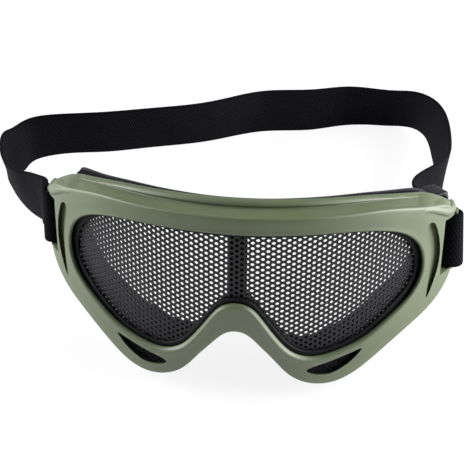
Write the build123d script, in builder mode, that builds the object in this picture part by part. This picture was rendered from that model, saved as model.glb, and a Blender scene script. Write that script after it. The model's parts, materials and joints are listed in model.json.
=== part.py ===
"""Mesh safety goggles: a moulded wrap frame, a curved perforated steel lens, face foam and an elastic strap.

Everything is drawn upright first, with X to the right of someone who looks at the lens, Y from the lens
towards the face and Z up. The whole is then leaned back until it stands on its two cheek lobes and on the
lower edge of the strap's back run, as it stands on a table.
"""

import os
from math import atan2, copysign, cos, degrees, floor, radians, sin, sqrt, tan

from build123d import *

os.makedirs("parts", exist_ok=True)

# Moulded frame
half_width = 90.0
frame_height = 87.0
wrap_margin = 14.0
front_radius = half_width + wrap_margin
face_wall = 2.6
cup_wall = 2.4
cup_depth = 12.0
flange_thickness = 2.4
flange_width = 10.0
flange_lip = 1.4
bead_width = 3.6
bead_height = 1.4

# Sight opening, inside the frame's side and brow
side_width = 15.0
brow_width = 11.5
opening_half_width = half_width - side_width
opening_height = frame_height - brow_width

# Lens, its edging and the retaining ring
mesh_thickness = 0.8
mesh_pitch = 4.8
mesh_hole = 3.3
mesh_border = 2.0
lens_margin = 2.2
edging_thickness = 1.4
edging_reach = 2.4
retainer_thickness = 1.8
retainer_reach = 1.2
post_width = 8.0
seat_gap = 0.05

# Face foam and its fleece facing
foam_width = 9.0
foam_inset = 4.0
foam_centre_depth = 7.0
foam_wrap = 15.0
foam_rear_radius = front_radius - foam_wrap
facing_thickness = 1.6

# Vents
vent_foam_thickness = 2.2
vent_foam_margin = 1.4
side_recess_depth = 1.4

# Elastic webbing
webbing_width = 25.0
webbing_thickness = 1.6
loop_gap = 0.45
layer_gap = 0.06
stub_across = -11.0
stub_back = 27.0
sewn_length = 21.0
tuck_length = 26.0
throat_length = 6.5
flex_gap = 0.35
thread_thickness = 0.35
thread_width = 1.0
thread_pitch = 2.6
thread_rows = 3
thread_margin = 1.5

# Strap bars, the slots inside them and the knobs above them
bar_diameter = 4.6
bar_inset = 0.5
slot_gap = 2.8
slot_play = 1.25
slot_middle_share = 0.612
wing_width = 12.0
wing_thickness = 5.0
knob_radius = 4.6
bar_across = half_width - bar_inset
bar_depth = front_radius - sqrt((front_radius - wing_thickness / 2) ** 2 - bar_across**2)
slot_height = webbing_width + 2 * slot_play
slot_middle = slot_middle_share * frame_height
slot_bottom = slot_middle - slot_height / 2
slot_edge = bar_across - bar_diameter / 2 - slot_gap
wing_start = half_width - wing_width
webbing_bottom = slot_bottom + slot_play

# Adjuster
adjuster_length = 12.0
adjuster_bar = 2.6
adjuster_thickness = 2.0
adjuster_rail = 2.4
adjuster_place = 18.8
adjuster_gap = 0.35

# Back run of the strap, seen from above: shares of its half span and of its reach behind the flex points
strap_overhang = 43.5
strap_half_span = bar_across + strap_overhang
strap_reach = 138.9
strap_shares = [
    (-0.805, 0.06), (-0.88, 0.14), (-0.959, 0.237), (-1, 0.338), (-0.985, 0.431), (-0.917, 0.496),
    (-0.797, 0.54), (-0.647, 0.583), (-0.451, 0.655), (-0.241, 0.759), (-0.03, 0.871), (0.18, 0.934),
    (0.376, 0.989), (0.526, 1), (0.624, 0.946), (0.68, 0.827), (0.711, 0.661), (0.711, 0.482),
    (0.68, 0.316), (0.624, 0.178), (0.579, 0.082),
]

# One overrun serves every cut
overrun = 2.0

prism_depth = front_radius - overrun
prism_height = 3 * frame_height


def curved_layer(sketch, outer_radius, inner_radius, inner_axis=front_radius):
    """The part of a prism on the sketch between two upright cylinders, round the front's axis or its own."""
    with BuildPart() as piece:
        add(sketch)
        extrude(amount=prism_depth, dir=(0, 1, 0))
        with Locations((0, front_radius, 0)):
            Cylinder(outer_radius, prism_height, mode=Mode.INTERSECT)
        with Locations((0, inner_axis, 0)):
            Cylinder(inner_radius, prism_height, mode=Mode.SUBTRACT)
    return piece.part


def outline(corner_shares, width, height, grow=0.0):
    """A face inside rounded corners, grown or shrunk all round: the corners of one half, then their mirror images.

    A corner's last share is the part of its shorter side that its round takes up.
    """
    half = [(Vector(across * width, up * height), round_share) for across, up, round_share in corner_shares]
    whole = half + [(Vector(-corner.X, corner.Y), round_share) for corner, round_share in reversed(half[1:])]
    corners = []
    radii = []
    for place, (corner, round_share) in enumerate(whole):
        before = corner - whole[place - 1][0]
        after = whole[(place + 1) % len(whole)][0] - corner
        turn = radians(before.get_signed_angle(after, Vector(0, 0, 1)))
        radius = round_share * min(before.length, after.length) / tan(abs(turn) / 2)
        out_before = Vector(before.Y, -before.X).normalized()
        out_after = Vector(after.Y, -after.X).normalized()
        corners.append(corner + (out_before + out_after) * (grow / (1 + out_before.dot(out_after))))
        radii.append(radius + grow * copysign(1, turn))
    with BuildSketch(Plane.XZ) as sketch:
        with BuildLine():
            FilletPolyline(*corners, radius=radii, close=True)
        make_face()
    return sketch.sketch


def ring(shares, width, height, outside, inside):
    """A ring between two offsets of one outline."""
    outer = outline(shares, width, height, outside)
    inner = outline(shares, width, height, inside)
    with BuildSketch(Plane.XZ) as sketch:
        add(outer)
        add(inner, mode=Mode.SUBTRACT)
    return sketch.sketch


def crescent(shares, grow=0.0):
    """A pair of mirrored slits, each between two arcs through the points: tip, middle, tip, middle."""
    first_tip, low_middle, second_tip, high_middle = [
        (across_share * half_width, up_share * frame_height) for across_share, up_share in shares
    ]
    with BuildSketch(Plane.XZ) as sketch:
        with BuildLine():
            ThreePointArc(first_tip, low_middle, second_tip)
            ThreePointArc(second_tip, high_middle, first_tip)
        make_face()
        if grow:
            offset(amount=grow)
        mirror(about=Plane.YZ)
    return sketch.sketch


# Corners of half outlines, each with its rounding, from the nose round the cheek lobe and the side to the brow
face_shares = [(0.0, 0.426, 0.283), (0.36, -0.069, 0.407), (1.018, 0.318, 0.327), (1.018, 0.828, 0.218),
               (0.78, 0.957, 0.254)]
cup_shares = [(0.0, 0.426, 0.283), (0.36, -0.069, 0.405), (0.891, 0.239, 0.26), (0.891, 0.98, 0.31)]
opening_shares = [(0.0, 0.691, 0.299), (0.4, 0.148, 0.4), (1.003, 0.507, 0.61), (1.004, 0.801, 0.331),
                  (0.773, 1.0, 0.488)]
lower_vent_shares = [(0.594, 0.177), (0.472, 0.101), (0.333, 0.117), (0.461, 0.141)]
side_recess_shares = [(0.88, 0.385), (0.922, 0.58), (0.878, 0.79), (0.893, 0.58)]


def sight_ring(outside, inside):
    """A ring round the sight opening."""
    return ring(opening_shares, opening_half_width, opening_height, outside, inside)


def cup_ring(outside, inside):
    """A ring along the cup's outer wall."""
    return ring(cup_shares, half_width, frame_height, outside, inside)


# Frame: a curved face plate, a deep cup wall with a foam flange, a bead round the opening and two side wings
face_plate = curved_layer(
    outline(face_shares, half_width, frame_height), front_radius, front_radius - face_wall
)
flange_radius = front_radius - cup_depth
cup_wall_layer = curved_layer(cup_ring(0, -cup_wall), front_radius - face_wall / 2, flange_radius)
flange_layer = curved_layer(
    cup_ring(flange_lip, -flange_width), flange_radius + flange_thickness, flange_radius
)
bead_layer = curved_layer(
    sight_ring(bead_width, 0), front_radius + bead_height, front_radius - face_wall / 2
)
wing_layer = curved_layer(
    outline(face_shares, half_width, frame_height), front_radius, front_radius - wing_thickness
)
opening_cut = curved_layer(
    outline(opening_shares, opening_half_width, opening_height),
    front_radius + bead_height + overrun,
    front_radius - cup_depth,
)
vent_cut = curved_layer(crescent(lower_vent_shares), front_radius + overrun, front_radius - 2 * face_wall)
recess_cut = curved_layer(
    crescent(side_recess_shares), front_radius + overrun, front_radius - side_recess_depth
)
slot_top = slot_bottom + slot_height
slot_reach = 2 * (bar_across - slot_edge) + overrun
knob_height = slot_top + knob_radius
knob_across = bar_across - knob_radius / 2

with BuildPart() as wings:
    add(wing_layer)
    with Locations((0, 0, frame_height / 2)):
        Box(2 * wing_start, prism_height, prism_height, mode=Mode.SUBTRACT)
    with Locations((0, 0, (slot_bottom - prism_height) / 2)):
        Box(prism_height, prism_height, prism_height, mode=Mode.SUBTRACT)

with BuildPart() as frame_shell:
    add(face_plate)
    add(wings.part)
    with Locations((knob_across, bar_depth, knob_height), (-knob_across, bar_depth, knob_height)):
        Sphere(knob_radius)
    add(cup_wall_layer)
    add(flange_layer)
    add(bead_layer)
    add(opening_cut, mode=Mode.SUBTRACT)
    add(vent_cut, mode=Mode.SUBTRACT)
    add(recess_cut, mode=Mode.SUBTRACT)
    with Locations(
        (slot_edge + slot_reach / 2, bar_depth, slot_middle), (-slot_edge - slot_reach / 2, bar_depth, slot_middle)
    ):
        Box(slot_reach, bar_depth, slot_height, mode=Mode.SUBTRACT)
    with Locations((bar_across, bar_depth, slot_middle), (-bar_across, bar_depth, slot_middle)):
        Cylinder(bar_diameter / 2, slot_height + 2 * overrun)

# Lens: a black perforated sheet, rolled to the frame's curve, with its holes in staggered columns
mesh_radius = front_radius - face_wall - edging_thickness - 2 * seat_gap
column_step = mesh_pitch * sqrt(3) / 2
column_count = floor(mesh_radius / column_step)
row_count = floor(opening_height / mesh_pitch)
hole_field = outline(opening_shares, opening_half_width, opening_height, -mesh_border - mesh_hole / 2).face()
hole_places = []
for column in range(-column_count, column_count + 1):
    turn = column * column_step / mesh_radius
    outward = Vector(sin(turn), -cos(turn), 0)
    for row in range(row_count + 1):
        up = (row + (column % 2) / 2) * mesh_pitch
        if hole_field.is_inside(Vector(mesh_radius * outward.X, 0, up)):
            centre = Vector(0, front_radius, up) + outward * mesh_radius
            hole_places.append(Plane(centre, z_dir=outward).location)
sheet_blank = curved_layer(
    outline(opening_shares, opening_half_width, opening_height, lens_margin),
    mesh_radius,
    mesh_radius - mesh_thickness,
)
with BuildPart() as mesh_lens:
    add(sheet_blank)
    with Locations(*hole_places):
        Cylinder(mesh_hole / 2, mesh_thickness + 2 * overrun, mode=Mode.SUBTRACT)
print("mesh holes", len(hole_places))

# Black rubber edging between the sheet and the frame's front wall
edging_radius = front_radius - face_wall - seat_gap
with BuildPart() as lens_edging:
    add(curved_layer(sight_ring(lens_margin, -edging_reach), edging_radius, edging_radius - edging_thickness))

# Black ring with a post at the nose, which holds the lens from behind
retainer_radius = mesh_radius - mesh_thickness - seat_gap
with BuildSketch(Plane.XZ) as retainer_sketch:
    add(outline(opening_shares, opening_half_width, opening_height, lens_margin))
    add(outline(opening_shares, opening_half_width, opening_height, -retainer_reach), mode=Mode.SUBTRACT)
    with BuildSketch(Plane.XZ, mode=Mode.PRIVATE) as post_sketch:
        with Locations((0, opening_height / 2)):
            Rectangle(post_width, opening_height)
    add(post_sketch.sketch & outline(opening_shares, opening_half_width, opening_height, lens_margin))
with BuildPart() as lens_retainer:
    add(curved_layer(retainer_sketch.sketch, retainer_radius, retainer_radius - retainer_thickness))

# Filter foam behind the two lower vents
vent_foam_radius = front_radius - face_wall - seat_gap
vent_foam_pair = curved_layer(
    crescent(lower_vent_shares, vent_foam_margin), vent_foam_radius, vent_foam_radius - vent_foam_thickness
)
with BuildPart() as left_vent_foam:
    add(vent_foam_pair.solids().sort_by(Axis.X)[0])
with BuildPart() as right_vent_foam:
    add(vent_foam_pair.solids().sort_by(Axis.X)[-1])

# Face foam on the flange, and the fleece laid on its face side
foam_face_axis = cup_depth + foam_centre_depth + foam_rear_radius
foam_ring = cup_ring(-foam_inset, -foam_inset - foam_width)
with BuildPart() as face_foam:
    add(curved_layer(foam_ring, flange_radius - seat_gap, foam_rear_radius, foam_face_axis))
with BuildPart() as foam_facing:
    add(foam_ring)
    extrude(amount=prism_depth, dir=(0, 1, 0))
    with Locations((0, foam_face_axis, 0)):
        Cylinder(foam_rear_radius - seat_gap, prism_height, mode=Mode.INTERSECT)
        Cylinder(foam_rear_radius - seat_gap - facing_thickness, prism_height, mode=Mode.SUBTRACT)

# Strap: two loops round the bars, each with a stub to a flex point, and the back run between those points
left_bar = Vector(-bar_across, bar_depth)
right_bar = Vector(bar_across, bar_depth)
stub = Vector(stub_across, stub_back)
stub_length = stub.length
loop_inside = bar_diameter / 2 + loop_gap
loop_outside = loop_inside + webbing_thickness
half_layer = webbing_thickness / 2
doubled_half = webbing_thickness + layer_gap / 2


def stub_plane(bar):
    """A plane at the webbing's lower edge, with its origin on a bar and its Y along the stub."""
    return Plane((bar.X, bar.Y, webbing_bottom), x_dir=(stub.Y, -stub.X, 0), z_dir=(0, 0, 1))


def loop_section(bar, doubled_length):
    """Webbing round a bar, doubled behind it and single where it ends in a round edge at the flex point."""
    with BuildSketch(stub_plane(bar)) as sketch:
        with BuildSketch(mode=Mode.PRIVATE) as outside:
            Circle(loop_outside)
            with Locations((0, throat_length)):
                Circle(doubled_half)
            make_hull()
        with BuildSketch(mode=Mode.PRIVATE) as inside:
            Circle(loop_inside)
            with Locations((0, throat_length - webbing_thickness)):
                Circle(layer_gap)
            make_hull()
        add(outside.sketch)
        with Locations((0, (throat_length + doubled_length) / 2)):
            Rectangle(2 * doubled_half, doubled_length - throat_length)
        with Locations((0, stub_length / 2)):
            Rectangle(webbing_thickness, stub_length)
        with Locations((0, stub_length)):
            Circle(half_layer)
        add(inside.sketch, mode=Mode.SUBTRACT)
    return sketch.sketch


with BuildPart() as left_strap_loop:
    add(loop_section(left_bar, sewn_length))
    extrude(amount=webbing_width, dir=(0, 0, 1))
with BuildPart() as right_strap_loop:
    add(loop_section(right_bar, tuck_length))
    extrude(amount=webbing_width, dir=(0, 0, 1))

end_gap = half_layer + flex_gap
along = stub.normalized()
start = left_bar + stub + along * end_gap
finish = right_bar + stub + along * end_gap
flex_depth = bar_depth + stub_back
strap_points = [(across * strap_half_span, flex_depth + back * strap_reach) for across, back in strap_shares]
with BuildSketch(Plane.XY.offset(webbing_bottom)) as strap_sketch:
    with BuildLine() as strap_line:
        Spline(start, *strap_points, finish, tangents=(along, -along))
    trace(line_width=webbing_thickness)
with BuildPart() as strap:
    add(strap_sketch.sketch)
    extrude(amount=webbing_width, dir=(0, 0, 1))
strap_length = sum(edge.length for edge in strap_line.edges())
print("back run length", strap_length, "section times length", strap_length * webbing_thickness * webbing_width)
print("back run volume", strap.part.volume)

# Rows of thread across the sewn end, on its outer face
first_row = sewn_length - thread_rows * thread_pitch
thread_stand = doubled_half + thread_thickness / 2
with BuildPart(stub_plane(left_bar)) as left_loop_stitching:
    for row in range(thread_rows):
        with Locations((-thread_stand, first_row + row * thread_pitch, webbing_width / 2)):
            Box(thread_thickness, thread_width, webbing_width - 2 * thread_margin)

# Adjuster: a ladder of three bars that grips the doubled webbing behind the right bar
bar_stand = doubled_half + adjuster_gap + adjuster_thickness / 2
rail_stand = webbing_width / 2 + adjuster_gap + adjuster_rail / 2
end_bar_step = (adjuster_length - adjuster_bar) / 2
with BuildPart(stub_plane(right_bar)) as adjuster:
    for rail_side in (-1, 1):
        with Locations((0, adjuster_place, webbing_width / 2 + rail_side * rail_stand)):
            Box(2 * bar_stand + adjuster_thickness, adjuster_length, adjuster_rail)
    for bar_side, bar_step in ((1, -end_bar_step), (-1, 0), (1, end_bar_step)):
        with Locations((bar_side * bar_stand, adjuster_place + bar_step, webbing_width / 2)):
            Box(adjuster_thickness, adjuster_bar, 2 * rail_stand)

# Set down: leaned back until the cheek lobes and the strap's rear edge meet the table
cup_face = outline(cup_shares, half_width, frame_height)
lobe_arc = cup_face.edges().sort_by(Axis.Z)[0]
lobe_depth = front_radius - sqrt(flange_radius**2 - lobe_arc.arc_center.X**2)
lobe_low = cup_face.bounding_box().min.Z - flange_lip
strap_rear = strap.part.bounding_box().max.Y
lean = degrees(atan2(webbing_bottom - lobe_low, strap_rear - lobe_depth))
leaned = Location((0, 0, 0), (-lean, 0, 0))

pieces = {
    "frame_shell": frame_shell,
    "mesh_lens": mesh_lens,
    "lens_edging": lens_edging,
    "lens_retainer": lens_retainer,
    "left_vent_foam": left_vent_foam,
    "right_vent_foam": right_vent_foam,
    "face_foam": face_foam,
    "foam_facing": foam_facing,
    "left_strap_loop": left_strap_loop,
    "left_loop_stitching": left_loop_stitching,
    "strap": strap,
    "right_strap_loop": right_strap_loop,
    "adjuster": adjuster,
}
leaned_box = Compound(children=[leaned * piece.part for piece in pieces.values()]).bounding_box()
middle = leaned_box.center()
standing = Location((-middle.X, -middle.Y, -leaned_box.min.Z)) * leaned

for name, piece in pieces.items():
    placed = standing * piece.part
    placed.label = name
    export_step(placed, f"parts/{name}.step")

# Where the joints and corners lie once the goggles stand
print("lean", lean, "box", leaned_box.size)
webbing_middle = webbing_bottom + webbing_width / 2
turn_points = {
    "left bar": left_bar,
    "left flex": left_bar + stub,
    "right flex": right_bar + stub,
    "right bar": right_bar,
    "adjuster": right_bar + along * adjuster_place,
    "lens front": Vector(0, 0),
    "foam rear": Vector(0, cup_depth + foam_centre_depth + facing_thickness),
}
for name, point in turn_points.items():
    print(name, (standing * Location((point.X, point.Y, webbing_middle))).position)
print("up", Plane(leaned).z_dir, "back", Plane(leaned).y_dir, "along the stub before leaning", along)
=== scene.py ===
import json
from math import atan2, cos, pi, radians, sin, sqrt

import bmesh
import bpy
import numpy as np
from mathutils import Matrix, Vector


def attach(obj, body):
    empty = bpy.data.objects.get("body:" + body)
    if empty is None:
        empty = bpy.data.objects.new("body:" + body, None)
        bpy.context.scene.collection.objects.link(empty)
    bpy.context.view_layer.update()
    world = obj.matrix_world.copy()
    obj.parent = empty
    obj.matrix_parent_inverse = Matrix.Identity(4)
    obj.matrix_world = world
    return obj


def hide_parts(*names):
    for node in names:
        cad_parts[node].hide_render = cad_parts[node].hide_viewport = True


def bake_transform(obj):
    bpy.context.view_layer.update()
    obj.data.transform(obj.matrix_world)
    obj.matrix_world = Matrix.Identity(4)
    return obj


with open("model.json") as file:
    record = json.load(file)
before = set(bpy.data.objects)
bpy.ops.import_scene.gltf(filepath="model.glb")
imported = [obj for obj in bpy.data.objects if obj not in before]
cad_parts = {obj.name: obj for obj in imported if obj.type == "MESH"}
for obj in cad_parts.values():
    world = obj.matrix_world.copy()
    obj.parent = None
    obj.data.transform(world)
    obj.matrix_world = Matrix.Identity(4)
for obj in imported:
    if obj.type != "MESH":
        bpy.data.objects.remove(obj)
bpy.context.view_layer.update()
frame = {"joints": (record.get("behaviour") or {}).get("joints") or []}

# Where the goggles stand. Every piece is drawn upright in millimetres, with X to the right of someone who
# looks at the lens, Y from the lens to the face and Z up. They then lean back on the cheek lobes and strap.
millimetre = 0.001
front_radius = 104.0
bar_across = 89.5
bar_depth = 56.13
webbing_middle = 53.25
joints = {joint["name"]: joint for joint in frame["joints"]}
bar_axis = Vector(joints["left_loop_turn"]["axis"])
standing = (
    Matrix.Translation(joints["left_loop_turn"]["pos_m"])
    @ Matrix.Rotation(-atan2(bar_axis.y, bar_axis.z), 4, "X")
    @ Matrix.Scale(millimetre, 4)
    @ Matrix.Translation((bar_across, -bar_depth, -webbing_middle))
)


# Moulded frame: one piece of soft, matt PVC in olive green, injection moulded. A curved face plate runs into
# a deep cup wall with a channel under the brow rim. At the sides are the strap bars with a tab above each.
def make_piece(name, points, faces, body, *nodes):
    """A mesh from upright millimetre points, stood up, riding on a body and standing for its nodes."""
    mesh = bpy.data.meshes.new(name)
    mesh.from_pydata([tuple(point) for point in points], [], [tuple(face) for face in faces])
    mesh.transform(standing)
    shaping = bmesh.new()
    shaping.from_mesh(mesh)
    bmesh.ops.recalc_face_normals(shaping, faces=shaping.faces)
    shaping.to_mesh(mesh)
    shaping.free()
    piece = bpy.data.objects.new(name, mesh)
    bpy.context.scene.collection.objects.link(piece)
    if body:
        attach(piece, body)
    if nodes:
        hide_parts(*nodes)
    return piece


def linear(hex_colour):
    """The linear colour of an sRGB hex value."""
    shares = [int(hex_colour[place:place + 2], 16) / 255 for place in (1, 3, 5)]
    return [share / 12.92 if share <= 0.04045 else ((share + 0.055) / 1.055) ** 2.4 for share in shares] + [1.0]


def new_material(name):
    """A node material that is still plain, with its tree and its surface shader."""
    material = bpy.data.materials.new(name)
    material.use_nodes = True
    return material, material.node_tree, material.node_tree.nodes["Principled BSDF"]


def add_node(tree, kind, properties=None, inputs=None, feeds=None):
    """Adds a node, sets its properties, sets or links its inputs by name or number, and may feed a socket."""
    node = tree.nodes.new(kind)
    for name, value in (properties or {}).items():
        setattr(node, name, value)
    for name, value in (inputs or {}).items():
        if isinstance(value, bpy.types.NodeSocket):
            tree.links.new(value, node.inputs[name])
        else:
            node.inputs[name].default_value = value
    if feeds:
        tree.links.new(next(output for output in node.outputs if output.enabled), feeds)
    return node


def smooth_curve(points, steps, closed=True):
    """A line with continuous bend through the points, closed or open, as an array with steps points to each side."""
    points = np.array(points, float)
    count = len(points)
    after, before = np.roll(points, -1, axis=0), np.roll(points, 1, axis=0)
    system = 4 * np.eye(count) + np.roll(np.eye(count), 1, axis=1) + np.roll(np.eye(count), -1, axis=1)
    pull = 3 * (after - before)
    if not closed:
        system[0, -1] = system[-1, 0] = 0
        system[0, 0] = system[-1, -1] = 2
        pull[0], pull[-1] = 3 * (points[1] - points[0]), 3 * (points[-1] - points[-2])
    slopes = np.linalg.solve(system, pull)
    share = (np.arange(steps) / steps)[None, :, None]
    here, there = points[:, None, :], after[:, None, :]
    slope_here, slope_there = slopes[:, None, :], np.roll(slopes, -1, axis=0)[:, None, :]
    curve = (
        here * (2 * share**3 - 3 * share**2 + 1)
        + slope_here * (share**3 - 2 * share**2 + share)
        + there * (3 * share**2 - 2 * share**3)
        + slope_there * (share**3 - share**2)
    )
    if closed:
        return curve.reshape(count * steps, -1)
    return np.concatenate([curve[:-1].reshape((count - 1) * steps, -1), points[-1:]])


def mirrored(half):
    """A closed outline from its right half, which starts at the nose and ends at the brow."""
    return half + [(-across, up) for across, up in reversed(half[1:-1])]


def wrapped(flat, radius):
    """Upright points at a radius round the front's upright axis, from an array of across and up."""
    across, up = flat[:, 0], flat[:, 1]
    depth = front_radius - np.sqrt(np.maximum(np.broadcast_to(radius, across.shape) ** 2 - across**2, 0))
    return np.stack([across, depth, up], axis=1)


def hoop_faces(stations, corners):
    """The quads of a closed hoop of stations with the same number of corners, the last joined to the first."""
    return [
        (here + corner, here + (corner + 1) % corners, there + (corner + 1) % corners, there + corner)
        for here, there in ((station * corners, (station + 1) % stations * corners) for station in range(stations))
        for corner in range(corners)
    ]


def make_hoop(name, sections, node):
    """A piece that runs round the opening, from the lines of points that its section's corners follow."""
    points = np.stack(sections, axis=1).reshape(-1, 3)
    return make_piece(name, points, hoop_faces(len(opening), len(sections)), "root", node)


def tube_faces(stations, corners, ends=(True, True)):
    """The quads of a tube, and a face over its first and its last end where asked for."""
    caps = tuple(range(corners)), tuple(range(stations * corners - 1, (stations - 1) * corners - 1, -1))
    return hoop_faces(stations, corners)[: (stations - 1) * corners] + [cap for cap, end in zip(caps, ends) if end]


def make_tube(name, rings, body=None, *nodes):
    """A piece from rings of points, one after another, closed at both ends."""
    return make_piece(
        name, [point for ring in rings for point in ring], tube_faces(len(rings), len(rings[0])), body, *nodes
    )


# Sight opening and the face plate's border, from the nose round the cheek lobe and the side to the brow
opening_half = [
    (0.0, 44.5), (5.6, 43.0), (9.8, 38.8), (14.4, 32.1), (20.0, 24.7), (25.0, 20.5), (31.5, 18.5), (39.0, 19.2),
    (45.5, 21.0), (53.0, 24.2), (62.0, 30.3), (70.1, 37.1), (74.2, 43.7), (75.3, 49.5), (74.8, 55.0), (72.6, 61.2),
    (67.7, 67.2), (60.5, 71.5), (50.5, 74.0), (38.5, 75.1), (26.0, 75.4), (13.0, 75.5), (0.0, 75.5),
]
border_half = [
    (0.0, 31.0), (3.7, 30.1), (6.9, 27.6), (10.5, 23.6), (15.8, 17.4), (21.0, 11.1), (28.0, 5.9), (38.2, 3.5),
    (48.3, 5.9), (57.8, 11.9), (70.5, 20.2), (82.0, 26.6), (88.6, 34.4), (90.6, 44.0), (90.4, 55.0), (88.9, 66.0),
    (84.6, 73.6), (75.0, 77.6), (60.5, 81.7), (44.5, 82.9), (29.0, 83.3), (14.0, 83.4), (0.0, 83.4),
]
rim_half = [
    (0.0, 29.2), (3.7, 28.5), (6.6, 27.0), (10.2, 23.0), (15.6, 15.2), (20.3, 9.2), (27.3, 3.2), (38.2, 0.6),
    (48.0, 2.5), (56.5, 7.4), (67.5, 15.8), (76.5, 25.5), (80.8, 37.0), (81.5, 48.0), (81.5, 57.5), (80.8, 66.5),
    (77.8, 74.4), (70.5, 79.2), (57.5, 83.3), (44.0, 85.6), (26.0, 86.8), (12.0, 87.1), (0.0, 87.2),
]
ring_steps = 8
opening = smooth_curve(mirrored(opening_half), ring_steps)
border = smooth_curve(mirrored(border_half), ring_steps)
rim = smooth_curve(mirrored(rim_half), ring_steps)
outward = (border - opening) / np.linalg.norm(border - opening, axis=1)[:, None]

# The cup's wall starts just inside the border, and further inside where the face plate widens into the wings
cup_half_width = 80.0
cup_softness = 2.5
wall_inset = 0.5
wall_start = border - wall_inset * outward
over = np.abs(wall_start[:, 0]) - cup_half_width
wall_start[:, 0] -= np.sign(wall_start[:, 0]) * cup_softness * np.log1p(np.exp(over / cup_softness))

# Radii of the surfaces: the plate's back, its edge at the wings and over the channel, the rim's crest and the
# flange. The band between opening and border falls back at the cheeks.
plate_back = 101.4
wing_back = 99.2
channel_back = 102.0
crest_radius = 94.2
flange_back = 92.0
cheek_fall = 1.6


def ramp(values, middle, softness):
    """A smooth step from 0 to 1 as the values pass a middle."""
    return 1 / (1 + np.exp(-(values - middle) / softness))


border_back = channel_back + (wing_back - channel_back) * ramp(np.abs(border[:, 0]), 78.0, 2.0)
band = np.linalg.norm(border - opening, axis=1)
band_slope = cheek_fall * (1 - ramp(border[:, 1], 34.0, 5.0))


def from_opening(out, radius):
    """The line a distance outside the opening."""
    return wrapped(opening + out * outward, radius)


def across_band(share, radius):
    """The line a share of the way from the opening to the border."""
    return wrapped(opening + (share * band)[:, None] * outward, radius - share * band_slope)


def from_border(inset, radius):
    """The line a distance inside the border."""
    return wrapped(border - inset * outward, radius - band_slope)


def along_wall(share, drop, lift):
    """The line a share of the way up the wall, dropped a share of the way back and lifted off it."""
    place = wall_start + share * (rim - wall_start)
    return wrapped(place + lift * outward, border_back - drop * (border_back - crest_radius))


def from_rim(inset, radius):
    """The line a distance inside the rim."""
    return wrapped(rim - inset * outward, radius)


# The moulding's section, from the opening's lip over the bead, the band and the channel to the rim, and back
# along the flange and the cup's inside
frame_sections = [
    from_opening(0.5, plate_back),
    from_opening(0.1, 101.9),
    from_opening(0.0, 102.7),
    from_opening(0.35, 103.4),
    from_opening(0.95, 103.98),
    from_opening(1.35, 104.16),
    from_opening(1.75, 104.14),
    from_opening(2.5, 104.0),
    across_band(0.42, 104.0),
    across_band(0.56, 104.0),
    across_band(0.72, 103.95),
    from_border(1.1, 103.85),
    from_border(0.45, 103.65),
    from_border(0.1, 103.3),
    from_border(0.0, 102.8),
    from_border(0.1, border_back + 0.4),
    from_border(0.45, border_back),
    along_wall(0.05, 0.06, -0.35),
    along_wall(0.13, 0.25, -0.15),
    along_wall(0.22, 0.5, -0.1),
    along_wall(0.31, 0.74, -0.15),
    along_wall(0.36, 0.8, -0.1),
    along_wall(0.41, 0.8, 0.0),
    along_wall(0.49, 0.765, 0.1),
    along_wall(0.62, 0.785, 0.15),
    along_wall(0.78, 0.85, 0.15),
    along_wall(0.9, 0.92, 0.1),
    along_wall(0.98, 0.985, 0.0),
    from_rim(0.0, 93.5),
    from_rim(0.1, 92.7),
    from_rim(0.6, 92.1),
    from_rim(1.4, flange_back),
    from_rim(9.5, flange_back),
    from_rim(10.0, 92.3),
    from_rim(10.0, 93.9),
    from_rim(9.5, 94.2),
    from_rim(4.2, 94.3),
    from_rim(3.7, 95.0),
    from_border(3.0, 98.5),
    from_border(3.4, plate_back),
    from_opening(3.0, plate_back),
]
frame_moulding = make_hoop("frame_moulding", frame_sections, "frame_shell")
frame_moulding.data.shade_smooth()
refine = frame_moulding.modifiers.new("refine", "SUBSURF")
refine.levels = refine.render_levels = 1


def make_real(piece):
    """Turns the piece's modifiers into mesh."""
    bpy.context.view_layer.update()
    finished = bpy.data.meshes.new_from_object(piece.evaluated_get(bpy.context.evaluated_depsgraph_get()))
    piece.modifiers.clear()
    piece.data = finished


def carve(piece, tools, operation="DIFFERENCE"):
    """Cuts tools out of a piece, or joins them to it, after which they are deleted."""
    for tool in tools:
        change = piece.modifiers.new("change", "BOOLEAN")
        change.operation = operation
        change.solver = "MANIFOLD"
        change.object = tool
    make_real(piece)
    for tool in tools:
        bpy.data.objects.remove(tool)


make_real(frame_moulding)

# Tabs that carry the brow on over each strap slot, from the rim's crest and the face plate's top edge to one
# rounded tip, and the bars that the webbing goes round. A tab's station: across, then radius, up and size of
# the round line along its crest, and the same of the one along its edge.
tab_stations = [
    (60.0, 94.0, 80.9, 0.7, 101.8, 78.9, 0.7), (68.0, 94.2, 78.6, 0.9, 102.2, 77.5, 1.1),
    (75.0, 95.0, 76.4, 1.5, 102.3, 75.9, 1.7), (79.5, 96.3, 73.9, 1.7, 102.6, 74.1, 1.9),
    (83.3, 98.0, 71.3, 1.9, 102.7, 71.6, 2.1), (86.3, 99.8, 69.1, 2.0, 102.5, 69.4, 2.2),
]
tip_shift = np.array([0.0, 1.6, -2.0, 0.0, -0.6, -2.1, 0.0])
tip_length = 3.2
tip_steps = 6
tab_corners = 10
tab_line = list(smooth_curve(tab_stations, 5, closed=False))
for step in range(1, tip_steps):
    turn = step / tip_steps * pi / 2
    tip = tab_line[-step] + (1 - cos(turn)) * tip_shift
    tip[0] += tip_length * sin(turn)
    tip[[3, 6]] *= cos(turn)
    tab_line.append(tip)
bar_radius = 1.7
bar_inset = 0.4
bar_heights = (38.0, 67.0)
bar_corners = 24
slot_sides = (84.4, 97.0)
slot_corners = ((38.0, 40.3), (80.0, 40.3), (80.0, 66.8), (38.0, 66.8))
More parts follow.
